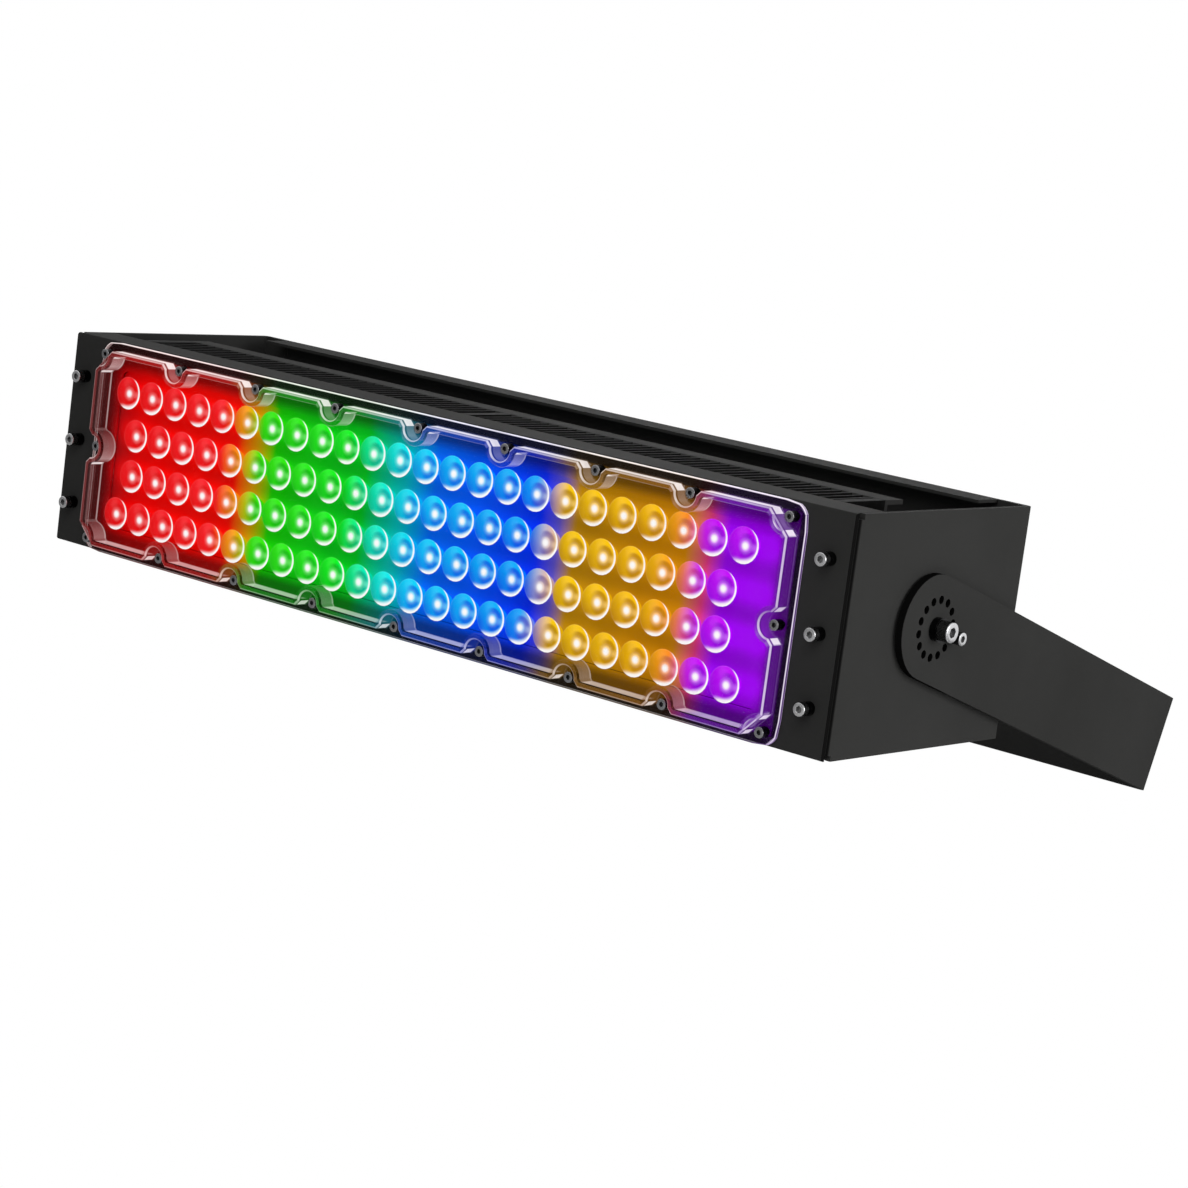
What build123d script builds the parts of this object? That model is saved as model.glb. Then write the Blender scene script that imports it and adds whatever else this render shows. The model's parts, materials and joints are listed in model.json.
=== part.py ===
from build123d import *
import os
from math import cos, radians, sin

# Linear RGB floodlight on a U-shaped yoke, held by the flat base of the yoke.
# Row frame: origin at the centre of the yoke base's outer face, +X along the lamp,
# +Y out of the base towards the surface that carries it, +Z up.
# Head frame, in which the lamp head is drawn: origin at the centre of its front face,
# +X along the lamp, +Y to the rear, +Z up. Sizes are in millimetres.

# Housing
housing_width = 690.0
housing_depth = 190.0
housing_height = 150.0
bracket_sheet = 4.0
bracket_flange = 24.0
bracket_bend = 4.0
front_sheet = 3.0
front_flange_depth = 33.0
front_end_inset = 1.5
front_bend = 2.0
rear_sheet = 2.0
rear_flange_depth = 27.0
rear_bend = 2.5
sheet_gap = 0.5

# Clear cover and its gasket
cover_end_margin = 33.5
cover_edge_margin = 0.25
cover_corner = 12.0
flange_thickness = 2.5
plateau_inset = 5.5
plateau_rise = 11.0
plateau_edge = 0.8
rim_wall = 3.5
skin = 2.0
notch_radius = 8.0
gasket_thickness = 1.0
gasket_inset = 1.0
gasket_lip = 2.0

# Cover screws, M4 with tall collar heads
cover_screw_inset = 9.0
cover_screw_spans_long = 8
cover_screw_spans_short = 2
cover_screw_r = 2.0
cover_screw_head_r = 3.5
cover_screw_head = 6.5
cover_screw_socket = 3.0
cover_screw_grip = 5.5
cover_screw_end_gap = 0.5
screw_clearance = 0.25
thread_clearance = 0.05

# Light sources and lenses
led_rows = 4
led_row_count = 24
led_end_margin = 26.5
led_edge_margin = 32.0
led_size = 4.0
led_height = 1.1
lens_gap = 0.95
lens_taper = 5.9
lens_led_gap = 1.3
lens_cavity_r = 3.2
lens_cavity_depth = 4.0
board_thickness = 1.6
board_clearance = 2.0
window_margin = 8.0
window_corner = 6.0
board_screw_r = 1.5
board_screw_head_r = 2.75
board_screw_head = 1.6
board_screw_depth = 5.0
board_screws_per_row = 4

# Zones of colour from the lamp's left end, each with its count of lenses in an outer row
zone_counts = (
    ("red", 5),
    ("orange", 1),
    ("green", 5),
    ("cyan", 1),
    ("blue", 6),
    ("amber", 4),
    ("violet", 2),
)

# Heat sink, an extrusion along Z
heatsink_end_inset = 1.5
heatsink_base = 8.0
heatsink_fin_depth = 66.0
fin_pitch = 8.0
fin_thickness = 1.8
fin_boss = 7.0
fin_boss_columns = 3

# Driver plate behind the fins
driver_plate_sheet = 3.0
driver_plate_depth = 19.0
driver_plate_bend = 1.5
plate_screw_r = 2.0
plate_screw_head_r = 3.8
plate_screw_head = 2.6
plate_screw_depth = 10.0
plate_screw_end_gap = 1.0
plate_screw_edge = 30.0

# Drivers and colour controller
driver_length = 190.0
driver_width = 62.0
driver_height = 38.0
driver_ear = 12.0
driver_ear_thickness = 2.5
driver_gap = 3.0
driver_corner = 4.0
driver_groove_count = 7
driver_groove_depth = 2.0
controller_length = 96.0
controller_width = 56.0
controller_height = 26.0

# Bolts on the front flanges, M5 with spacer sleeves
flange_bolt_edge = 15.5
flange_bolt_end = 29.6
flange_bolt_count = 3
flange_bolt_r = 2.5
flange_bolt_head_r = 4.25
flange_bolt_head = 5.0
flange_bolt_socket = 4.0
flange_sleeve_r = 4.4
flange_sleeve_length = 5.7
flange_nut_flats = 8.0
flange_nut_height = 4.0
flange_nut_turn = 30.0
bolt_point = 2.0

# Screws of the rear panel, M5 button heads
rear_screw_r = 2.5
rear_screw_head_r = 4.75
rear_screw_head = 2.7
rear_screw_point = 3.0

# Cable gland, M20
gland_bore_r = 5.0
gland_body_r = 10.0
gland_flange_r = 13.0
gland_flange_thickness = 3.0
gland_thread_length = 10.0
gland_neck_length = 9.0
gland_cap_r = 11.5
gland_cap_length = 15.0
gland_cap_tip_r = 8.0
gland_cap_taper = 5.0
gland_nut_flats = 24.0
gland_nut_height = 5.0
gland_neck_step = 1.0
gland_from_end = 145.0

# Yoke
yoke_reach = 316.0
yoke_width = 66.0
yoke_sheet = 5.0
yoke_bend = 7.0
yoke_gap = 1.6
yoke_tip = 3.0
pivot_from_front = 89.5
pivot_rise = 3.0
rest_tilt = 18.0
tilt_limit = 75.0

# Index ring and lock screw
ring_radius = 18.0
ring_count = 14
ring_hole_r = 2.65
lock_r = 2.5
lock_slot_clearance = 0.5
lock_head_r = 4.25
lock_head = 5.0
lock_socket = 4.0
lock_sleeve_r = 4.0
lock_sleeve = 4.5
lock_nut_flats = 8.0
lock_nut_height = 4.0

# Pivot bolts, M8
pivot_r = 4.0
pivot_fit = 0.08
pivot_head_r = 6.5
pivot_head = 8.0
pivot_socket = 6.0
pivot_collar_r = 7.5
pivot_collar = 4.5
pivot_nut_flats = 13.0
pivot_nut_height = 6.5
washer_ring_gap = 1.35
running_gap = 0.1

# Fixing holes in the yoke base
base_bolt_span = 400.0
base_bolt_r = 5.5
base_centre_r = 6.5

# Derived sizes and places
half_width = housing_width / 2
half_height = housing_height / 2
cover_width = housing_width - 2 * cover_end_margin
cover_height = housing_height - 2 * cover_edge_margin
led_pitch_x = (cover_width - 2 * led_end_margin) / led_row_count
led_pitch_z = (cover_height - 2 * led_edge_margin) / (led_rows - 1)
lens_radius = (led_pitch_x - lens_gap) / 2
lens_tip_radius = lens_radius - lens_taper
heatsink_length = cover_width - 2 * heatsink_end_inset
plate_screw_height = housing_height - 2 * plate_screw_edge
driver_offset = controller_length / 2 + 2 * driver_ear + driver_gap + driver_length / 2
flange_bolt_pitch = (housing_height - 2 * flange_bolt_end) / (flange_bolt_count - 1)
gland_offset = half_width - gland_from_end
gland_neck_r = gland_body_r - gland_neck_step
friction_washer_r = ring_radius - ring_hole_r - washer_ring_gap
flange_line = half_width - flange_bolt_edge
bracket_inner = half_width - bracket_sheet
heatsink_front = front_sheet
fin_root = heatsink_front + heatsink_base
fin_tip = fin_root + heatsink_fin_depth
channel_inside = half_height - front_sheet - sheet_gap
plate_rear = fin_tip + driver_plate_sheet
cover_back = -gasket_thickness
flange_front = cover_back - flange_thickness
plateau_front = flange_front - plateau_rise
screw_row_x = cover_width / 2 - cover_screw_inset
screw_row_z = cover_height / 2 - cover_screw_inset
window_x = screw_row_x - window_margin
window_z = screw_row_z - window_margin
board_front = heatsink_front - board_thickness
arm_inner = half_width + yoke_gap
arm_outer = arm_inner + yoke_sheet
pivot_y = -yoke_reach
nut_corner = 2 / 3**0.5

head_place = Pos(0, pivot_y, 0) * Rot(rest_tilt, 0, 0) * Pos(0, -pivot_from_front, -pivot_rise)


def box(x0, x1, y0, y1, z0, z1):
    """A block between two opposite corners."""
    centre = Pos((x0 + x1) / 2, (y0 + y1) / 2, (z0 + z1) / 2)
    return centre * Box(x1 - x0, y1 - y0, z1 - z0)


def plane_y(y, x=0.0, z=0.0):
    """A drawing plane seen from the front: its x is X, its y is Z, and it extrudes towards -Y."""
    return Plane(origin=(x, y, z), x_dir=(1, 0, 0), z_dir=(0, -1, 0))


def prism_y(sketch, y_rear, y_front):
    """Extrude a front-view sketch between two depths, the rear one being the larger y."""
    return extrude(plane_y(y_rear) * sketch, amount=y_rear - y_front)


def rod_y(r, x, z, y_rear, y_front):
    """A round bar along Y."""
    return extrude(plane_y(y_rear, x, z) * Circle(r), amount=y_rear - y_front)


def rod_x(r, y, z, x0, x1):
    """A round bar along X."""
    return extrude(Plane(origin=(x0, y, z), x_dir=(0, 1, 0), z_dir=(1, 0, 0)) * Circle(r), amount=x1 - x0)


def hexagon(flats):
    return RegularPolygon(radius=flats / 2 * nut_corner, side_count=6)


def socket_screw_y(x, z, seat, r, head_r, head, socket, end):
    """A cap screw along Y: its head stands in front of the seat and its shank runs back to end."""
    recess_depth = socket / 2
    body = rod_y(head_r, x, z, seat, seat - head) + rod_y(r, x, z, end, seat)
    recess = extrude(plane_y(seat - head + recess_depth, x, z) * hexagon(socket), amount=recess_depth)
    return body - recess


def socket_screw_x(y, z, seat, r, head_r, head, socket, end):
    """A cap screw along X: its head stands outside the seat and its shank runs in to end."""
    recess_depth = socket / 2
    body = rod_x(head_r, y, z, seat, seat + head) + rod_x(r, y, z, end, seat)
    plane = Plane(origin=(seat + head - recess_depth, y, z), x_dir=(0, 1, 0), z_dir=(1, 0, 0))
    return body - extrude(plane * hexagon(socket), amount=recess_depth)


def group(solids):
    """Separate solids that share one node."""
    return Compound(children=list(solids))


def both_sides(piece):
    """A piece and its mirror image at the lamp's other end."""
    return group([piece, mirror(piece, about=Plane.YZ)])


def long_edge_screws():
    """Centres of the cover screws along the top and bottom edge, corners included."""
    step = 2 * screw_row_x / cover_screw_spans_long
    steps = range(cover_screw_spans_long + 1)
    return [(-screw_row_x + i * step, side * screw_row_z) for side in (-1, 1) for i in steps]


def short_edge_screws(skipped=0):
    """Centres of the cover screws along both ends; the given number is left out at each corner."""
    step = 2 * screw_row_z / cover_screw_spans_short
    steps = range(skipped, cover_screw_spans_short + 1 - skipped)
    return [(side * screw_row_x, -screw_row_z + i * step) for side in (-1, 1) for i in steps]


def cover_screw_places():
    return long_edge_screws() + short_edge_screws(1)


def lens_places():
    """Centres of the lenses: the outer rows are full, the inner rows are one shorter and staggered."""
    places = []
    for row in range(led_rows):
        inner = 0 < row < led_rows - 1
        count = led_row_count - 1 if inner else led_row_count
        z = ((led_rows - 1) / 2 - row) * led_pitch_z
        for i in range(count):
            places.append(((i - (count - 1) / 2) * led_pitch_x, z))
    return places


def zone_places(name):
    """Centres of the light sources in one zone of colour."""
    left = -led_row_count / 2 * led_pitch_x
    for zone, count in zone_counts:
        right = left + count * led_pitch_x
        if zone == name:
            return [p for p in lens_places() if left <= p[0] < right]
        left = right
    return []


def flange_bolt_heights():
    return [(i - (flange_bolt_count - 1) / 2) * flange_bolt_pitch for i in range(flange_bolt_count)]


def front_panel():
    """Folded channel: the face with its window, and a flange that returns along the top and bottom."""
    face_half = half_width - front_end_inset
    flange_half = bracket_inner - sheet_gap
    outer = box(-face_half, face_half, 0, front_flange_depth, -half_height, half_height)
    long_edges = outer.edges().filter_by(Axis.X).group_by(Axis.Y)[0]
    outer = fillet(long_edges, front_bend)
    inner_z = half_height - front_sheet
    panel = outer - box(-face_half, face_half, front_sheet, front_flange_depth, -inner_z, inner_z)
    for side in (-1, 1):
        ends = sorted((side * flange_half, side * face_half))
        panel -= box(ends[0], ends[1], front_sheet, front_flange_depth, -half_height, half_height)
    window = RectangleRounded(2 * window_x, 2 * window_z, window_corner)
    holes = [Pos(x, z) * Circle(cover_screw_r + screw_clearance) for x, z in cover_screw_places()]
    for side in (-1, 1):
        for z in flange_bolt_heights():
            holes.append(Pos(side * flange_line, z) * Circle(flange_bolt_r + screw_clearance))
    return panel - prism_y(Sketch() + [window] + holes, front_sheet, 0)


def side_bracket(side):
    """Folded end plate with a front and a rear flange, the pivot hole and the slot of the lock screw."""
    x_in = half_width - bracket_flange
    front = front_sheet
    front_inside = front + bracket_sheet
    rear_inside = housing_depth - bracket_sheet
    outer = box(x_in, half_width, front, housing_depth, -half_height, half_height)
    outer = fillet(outer.edges().filter_by(Axis.Z).group_by(Axis.X)[-1], bracket_bend)
    plate = outer - box(x_in, bracket_inner, front_inside, rear_inside, -half_height, half_height)
    for z0, z1 in ((channel_inside, half_height), (-half_height, -channel_inside)):
        plate -= box(x_in, half_width, front, front_inside, z0, z1)
    for z in flange_bolt_heights():
        plate -= rod_y(flange_bolt_r + screw_clearance, flange_line, z, front_inside, front)
        plate -= rod_y(rear_screw_r + thread_clearance, flange_line, z, housing_depth, rear_inside)
    plate -= rod_x(pivot_r + pivot_fit, pivot_from_front, pivot_rise, bracket_inner, half_width)
    plate -= lock_slot()
    return plate if side > 0 else mirror(plate, about=Plane.YZ)


def lock_slot():
    """Curved slot round the pivot, in which the lock screw travels when the head tilts."""
    half = lock_r + lock_slot_clearance
    face = Plane(origin=(bracket_inner, pivot_from_front, pivot_rise), x_dir=(0, 1, 0), z_dir=(1, 0, 0))
    reach = radians(tilt_limit)
    ends = [Pos(ring_radius * cos(reach), s * ring_radius * sin(reach)) * Circle(half) for s in (-1, 1)]
    band = Circle(ring_radius + half) - Circle(ring_radius - half)
    far = 2 * ring_radius
    wedge = Polygon(
        (0, 0),
        (far * cos(reach), -far * sin(reach)),
        (far, -far),
        (far, far),
        (far * cos(reach), far * sin(reach)),
        align=None,
    )
    return extrude(face * (Sketch() + [band & wedge] + ends), amount=bracket_sheet)


def rear_panel():
    """Folded rear cover: a web behind the end plates and two flanges that reach in between them."""
    web_half = half_width - bracket_bend
    flange_half = half_width - bracket_flange - 2 * sheet_gap
    rear = housing_depth + rear_sheet
    front = rear - rear_flange_depth
    outer = box(-flange_half, flange_half, front, rear, -half_height, half_height)
    outer = fillet(outer.edges().filter_by(Axis.X).group_by(Axis.Y)[-1], rear_bend)
    inner_z = half_height - rear_sheet
    panel = outer - box(-flange_half, flange_half, front, housing_depth, -inner_z, inner_z)
    wing_z = half_height - rear_bend
    for side in (-1, 1):
        ends = sorted((side * flange_half, side * web_half))
        panel += box(ends[0], ends[1], housing_depth, rear, -wing_z, wing_z)
        for z in flange_bolt_heights():
            panel -= rod_y(rear_screw_r + screw_clearance, side * flange_line, z, rear, housing_depth)
    return panel - rod_y(gland_body_r + screw_clearance, gland_offset, 0, rear, housing_depth)


def heatsink():
    """Comb-shaped extrusion: base plate, thin fins and thicker ribs that take the driver plate's screws."""
    half = heatsink_length / 2
    comb = Pos(0, (heatsink_front + fin_root) / 2) * Rectangle(heatsink_length, heatsink_base)
    rib_depth = fin_tip - fin_root
    rib_mid = (fin_root + fin_tip) / 2
    count = int((heatsink_length - fin_thickness) / fin_pitch) + 1
    start = -(count - 1) / 2 * fin_pitch
    bosses = boss_columns()
    ribs = [Pos(x, rib_mid) * Rectangle(fin_boss, rib_depth) for x in bosses]
    for i in range(count):
        x = start + i * fin_pitch
        if all(abs(x - b) > (fin_boss + fin_thickness) / 2 for b in bosses):
            ribs.append(Pos(x, rib_mid) * Rectangle(fin_thickness, rib_depth))
    body = extrude(Sketch() + [comb] + ribs, amount=half_height, both=True)
    shoulder = front_flange_depth + sheet_gap
    for z0, z1 in ((channel_inside, half_height), (-half_height, -channel_inside)):
        body -= box(-half, half, heatsink_front, shoulder, z0, z1)
    for x, z in cover_screw_places():
        depth = front_sheet + cover_screw_grip
        body -= rod_y(cover_screw_r + thread_clearance, x, z, depth, heatsink_front)
    for x, z in board_screw_places():
        depth = heatsink_front + board_screw_depth
        body -= rod_y(board_screw_r + thread_clearance, x, z, depth, heatsink_front)
    for x, z in plate_screw_places():
        body -= rod_y(plate_screw_r + thread_clearance, x, z, fin_tip, fin_tip - plate_screw_depth)
    return body


def boss_columns():
    """Places along X of the thick ribs, from one end of the heat sink to the other."""
    half = (heatsink_length - fin_boss) / 2
    return [-half + i * 2 * half / (fin_boss_columns - 1) for i in range(fin_boss_columns)]


def plate_screw_places():
    return [(x, z) for x in boss_columns() for z in (-plate_screw_height / 2, plate_screw_height / 2)]


def board_screw_places():
    """Screws of the light board, along its middle line between the inner lens rows."""
    step = led_row_count * led_pitch_x / board_screws_per_row
    middle = (board_screws_per_row - 1) / 2
    return [((i - middle) * step, 0.0) for i in range(board_screws_per_row)]


def driver_plate():
    """Shallow channel screwed to the fin tips, open to the rear, that carries the drivers."""
    half = heatsink_length / 2
    rear = fin_tip + driver_plate_depth
    outer = box(-half, half, fin_tip, rear, -half_height, half_height)
    outer = fillet(outer.edges().filter_by(Axis.X).group_by(Axis.Y)[0], driver_plate_bend)
    inner_z = half_height - driver_plate_sheet
    plate = outer - box(-half, half, plate_rear, rear, -inner_z, inner_z)
    for x, z in plate_screw_places():
        plate -= rod_y(plate_screw_r + screw_clearance, x, z, plate_rear, fin_tip)
    for x, z in driver_screw_places():
        plate -= rod_y(plate_screw_r + thread_clearance, x, z, plate_rear, fin_tip)
    return plate


def light_board():
    """Metal-core circuit board that lies in the window of the front panel."""
    width = 2 * (window_x - board_clearance)
    height = 2 * (window_z - board_clearance)
    outline = RectangleRounded(width, height, window_corner)
    holes = [Pos(x, z) * Circle(board_screw_r + screw_clearance) for x, z in board_screw_places()]
    return prism_y(outline - holes, heatsink_front, board_front)


def board_screws():
    solids = []
    for x, z in board_screw_places():
        head = rod_y(board_screw_head_r, x, z, board_front, board_front - board_screw_head)
        shank = rod_y(board_screw_r, x, z, heatsink_front + board_screw_depth, board_front)
        solids.append(head + shank)
    return group(solids)


def light_sources(zone):
    """The square light-emitting packages of one zone."""
    back = board_front
    return group(
        box(x - led_size / 2, x + led_size / 2, back - led_height, back, z - led_size / 2, z + led_size / 2)
        for x, z in zone_places(zone)
    )


def notch(inset):
    """Cut about a screw, seen from the front: a circle, and a 45-degree flare that opens upwards from it."""
    span = notch_radius + inset * 2**0.5
    flare = Polygon(
        (-span / 2, -span / 2),
        (span / 2, -span / 2),
        (span + cover_screw_inset, cover_screw_inset),
        (-span - cover_screw_inset, cover_screw_inset),
        align=None,
    )
    return Circle(notch_radius + inset) + flare


def plateau_outline(inset):
    """Outline of the raised part: a rectangle with a flared notch about every screw."""
    half_x = cover_width / 2 - plateau_inset - inset
    half_z = cover_height / 2 - plateau_inset - inset
    upward = notch(inset)
    notches = [Pos(x, z) * Rot(0, 0, 0 if z > 0 else 180) * upward for x, z in long_edge_screws()]
    notches += [Pos(x, z) * Rot(0, 0, -90 if x > 0 else 90) * upward for x, z in short_edge_screws()]
    return Rectangle(2 * half_x, 2 * half_z) - notches


def lens():
    """One moulded lens: a cone from the cover's skin back towards its light source, hollow at the tip."""
    root = plateau_front + skin
    tip = board_front - led_height - lens_led_gap
    cone = loft([plane_y(tip) * Circle(lens_tip_radius), plane_y(root) * Circle(lens_radius)])
    return cone - rod_y(lens_cavity_r, 0, 0, tip, tip - lens_cavity_depth)


def lens_cover():
    """Moulded clear cover: thin flange, notched raised rim, flat skin and one lens behind it per source."""
    flange = prism_y(RectangleRounded(cover_width, cover_height, cover_corner), cover_back, flange_front)
    cover = flange + prism_y(plateau_outline(0.0), cover_back, plateau_front)
    cover = chamfer(cover.faces().sort_by(Axis.Y)[0].outer_wire().edges(), plateau_edge)
    cover -= prism_y(plateau_outline(rim_wall), cover_back, plateau_front + skin)
    for x, z in cover_screw_places():
        cover -= rod_y(cover_screw_r + screw_clearance, x, z, cover_back, flange_front)
    cone = lens()
    return cover + [Pos(x, 0, z) * cone for x, z in lens_places()]


def gasket():
    """Flat seal between the cover's flange and the front panel."""
    width = cover_width - 2 * gasket_inset
    height = cover_height - 2 * gasket_inset
    outline = RectangleRounded(width, height, cover_corner - gasket_inset)
    inner = RectangleRounded(2 * (window_x - gasket_lip), 2 * (window_z - gasket_lip), window_corner)
    holes = [Pos(x, z) * Circle(cover_screw_r + screw_clearance) for x, z in cover_screw_places()]
    return prism_y(outline - inner - holes, 0, cover_back)


def cover_screws():
    end = heatsink_front + cover_screw_grip - cover_screw_end_gap
    return group(
        socket_screw_y(
            x, z, flange_front, cover_screw_r, cover_screw_head_r, cover_screw_head, cover_screw_socket, end,
        )
        for x, z in cover_screw_places()
    )


def flange_bolts():
    """The six bolts that clamp the front panel to the end plates."""
    seat = -flange_sleeve_length
    end = front_sheet + bracket_sheet + flange_nut_height + bolt_point
    return group(
        socket_screw_y(
            side * flange_line, z, seat, flange_bolt_r, flange_bolt_head_r, flange_bolt_head,
            flange_bolt_socket, end,
        )
        for side in (-1, 1)
        for z in flange_bolt_heights()
    )


def flange_sleeves():
    solids = []
    for side in (-1, 1):
        for z in flange_bolt_heights():
            ring = rod_y(flange_sleeve_r, side * flange_line, z, 0, -flange_sleeve_length)
            bore = rod_y(flange_bolt_r + thread_clearance, side * flange_line, z, 0, -flange_sleeve_length)
            solids.append(ring - bore)
    return group(solids)


def flange_nuts():
    front = front_sheet + bracket_sheet
    rear = front + flange_nut_height
    profile = hexagon(flange_nut_flats) - Circle(flange_bolt_r + thread_clearance)
    turned = Rot(0, 0, flange_nut_turn) * profile
    return group(
        prism_y(Pos(side * flange_line, z) * turned, rear, front)
        for side in (-1, 1)
        for z in flange_bolt_heights()
    )


def rear_screws():
    seat = housing_depth + rear_sheet
    end = housing_depth - bracket_sheet - rear_screw_point
    solids = []
    for side in (-1, 1):
        for z in flange_bolt_heights():
            x = side * flange_line
            head = rod_y(rear_screw_head_r, x, z, seat + rear_screw_head, seat)
            head = chamfer(head.edges().sort_by(Axis.Y)[-1], rear_screw_head / 2)
            solids.append(head + rod_y(rear_screw_r, x, z, seat, end))
    return group(solids)


def plate_screws():
    end = fin_tip - plate_screw_depth + plate_screw_end_gap
    solids = []
    for x, z in plate_screw_places():
        head = rod_y(plate_screw_head_r, x, z, plate_rear + plate_screw_head, plate_rear)
        solids.append(head + rod_y(plate_screw_r, x, z, plate_rear, end))
    return group(solids)


def driver_boxes():
    """Centre along X, length, width and height of each box on the driver plate."""
    return {
        "led_driver_left": (-driver_offset, driver_length, driver_width, driver_height),
        "led_driver_right": (driver_offset, driver_length, driver_width, driver_height),
        "rgb_controller": (0.0, controller_length, controller_width, controller_height),
    }


def driver_screw_places():
    places = []
    for x, length, _, _ in driver_boxes().values():
        for side in (-1, 1):
            places.append((x + side * (length + driver_ear) / 2, 0.0))
    return places


def driver(name):
    """A potted supply in a ribbed case with a screw ear at each end."""
    x, length, width, height = driver_boxes()[name]
    x0 = x - length / 2
    x1 = x + length / 2
    top = plate_rear + height
    ear_top = plate_rear + driver_ear_thickness
    case = box(x0, x1, plate_rear, top, -width / 2, width / 2)
    case = fillet(case.edges().filter_by(Axis.X).group_by(Axis.Y)[-1], driver_corner)
    groove_pitch = (width - 2 * driver_corner) / driver_groove_count
    for i in range(driver_groove_count):
        z = (i - (driver_groove_count - 1) / 2) * groove_pitch
        case -= box(x0, x1, top - driver_groove_depth, top, z - groove_pitch / 4, z + groove_pitch / 4)
    case += box(x0 - driver_ear, x1 + driver_ear, plate_rear, ear_top, -driver_ear, driver_ear)
    for hole_x in (x0 - driver_ear / 2, x1 + driver_ear / 2):
        case -= rod_y(plate_screw_r + screw_clearance, hole_x, 0, ear_top, plate_rear)
    return case


def driver_screws():
    seat = plate_rear + driver_ear_thickness
    solids = []
    for x, z in driver_screw_places():
        head = rod_y(plate_screw_head_r, x, z, seat + plate_screw_head, seat)
        solids.append(head + rod_y(plate_screw_r, x, z, seat, fin_tip))
    return group(solids)


def gland_body():
    """Threaded body of the cable gland, with its collar on the rear panel."""
    rear = housing_depth + rear_sheet
    body = rod_y(gland_body_r, gland_offset, 0, rear, rear - gland_thread_length)
    body += rod_y(gland_flange_r, gland_offset, 0, rear + gland_flange_thickness, rear)
    neck_end = rear + gland_flange_thickness + gland_neck_length
    body += rod_y(gland_neck_r, gland_offset, 0, neck_end, rear + gland_flange_thickness)
    return body - rod_y(gland_bore_r, gland_offset, 0, neck_end, rear - gland_thread_length)


def gland_cap():
    """Domed clamping nut on the outside of the cable gland."""
    start = housing_depth + rear_sheet + gland_flange_thickness + sheet_gap
    end = start + gland_cap_length
    bore = gland_neck_r + thread_clearance
    seat = start + gland_neck_length + thread_clearance
    outline = Polyline(
        (bore, start),
        (gland_cap_r, start),
        (gland_cap_r, end - gland_cap_taper),
        (gland_cap_tip_r, end),
        (gland_bore_r, end),
        (gland_bore_r, seat),
        (bore, seat),
        close=True,
    )
    cap = revolve(make_face(Plane.XY * outline), Axis.Y)
    return Pos(gland_offset, 0, 0) * cap


def gland_nut():
    """Lock nut of the cable gland inside the housing."""
    front = housing_depth - gland_nut_height
    profile = hexagon(gland_nut_flats) - Circle(gland_body_r + thread_clearance)
    return prism_y(Pos(gland_offset, 0) * profile, housing_depth, front)


def yoke():
    """U-shaped strap: base, two bends and two arms whose round ends reach a little past the pivots."""
    half = yoke_width / 2
    tip_y = pivot_y - yoke_tip
    inner = box(-arm_inner, arm_inner, tip_y - half, -yoke_sheet, -half, half)
    outer = box(-arm_outer, arm_outer, tip_y, 0, -half, half)
    outer = fillet(outer.edges().filter_by(Axis.Z).group_by(Axis.Y)[-1], yoke_bend)
    inner = fillet(inner.edges().filter_by(Axis.Z).group_by(Axis.Y)[-1], yoke_bend - yoke_sheet)
    strap = outer - inner
    for side in (-1, 1):
        x0, x1 = sorted((side * arm_inner, side * arm_outer))
        strap += rod_x(half, tip_y, 0, x0, x1)
        strap -= rod_x(pivot_r + pivot_fit, pivot_y, 0, x0, x1)
        for i in range(ring_count):
            angle = radians(360 / ring_count * i)
            y = pivot_y + ring_radius * cos(angle)
            strap -= rod_x(ring_hole_r, y, ring_radius * sin(angle), x0, x1)
        strap -= rod_y(base_bolt_r, side * base_bolt_span / 2, 0, 0, -yoke_sheet)
    return strap - rod_y(base_centre_r, 0, 0, 0, -yoke_sheet)


def ring_x(r, bore, y, z, x0, x1):
    return rod_x(r, y, z, x0, x1) - rod_x(bore, y, z, x0, x1)


def hex_ring_x(flats, bore, y, z, x0, x1):
    plane = Plane(origin=(x0, y, z), x_dir=(0, 1, 0), z_dir=(1, 0, 0))
    return extrude(plane * (hexagon(flats) - Circle(bore)), amount=x1 - x0)


def pivot_bolts():
    """Bolts on which the head tilts; each passes through an arm and an end plate."""
    seat = arm_outer + pivot_collar
    end = bracket_inner - running_gap - pivot_nut_height - bolt_point
    return both_sides(socket_screw_x(pivot_y, 0, seat, pivot_r, pivot_head_r, pivot_head, pivot_socket, end))


def pivot_collars():
    bore = pivot_r + thread_clearance
    return both_sides(ring_x(pivot_collar_r, bore, pivot_y, 0, arm_outer, arm_outer + pivot_collar))


def pivot_nuts():
    end = bracket_inner - running_gap
    bore = pivot_r + thread_clearance
    return both_sides(hex_ring_x(pivot_nut_flats, bore, pivot_y, 0, end - pivot_nut_height, end))


def friction_washers():
    """Washers between the arms and the end plates."""
    bore = pivot_r + pivot_fit
    return both_sides(ring_x(friction_washer_r, bore, pivot_y, 0, half_width + running_gap, arm_inner))


def lock_screws():
    """Screws through one index hole of each arm and the slot of the end plate behind it."""
    seat = arm_outer + lock_sleeve
    end = bracket_inner - running_gap - lock_nut_height - bolt_point
    y = pivot_y + ring_radius
    return both_sides(socket_screw_x(y, 0, seat, lock_r, lock_head_r, lock_head, lock_socket, end))


def lock_sleeves():
    y = pivot_y + ring_radius
    bore = lock_r + thread_clearance
    return both_sides(ring_x(lock_sleeve_r, bore, y, 0, arm_outer, arm_outer + lock_sleeve))


def lock_nuts():
    end = bracket_inner - running_gap
    y = pivot_y + ring_radius
    return both_sides(hex_ring_x(lock_nut_flats, lock_r + thread_clearance, y, 0, end - lock_nut_height, end))


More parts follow.
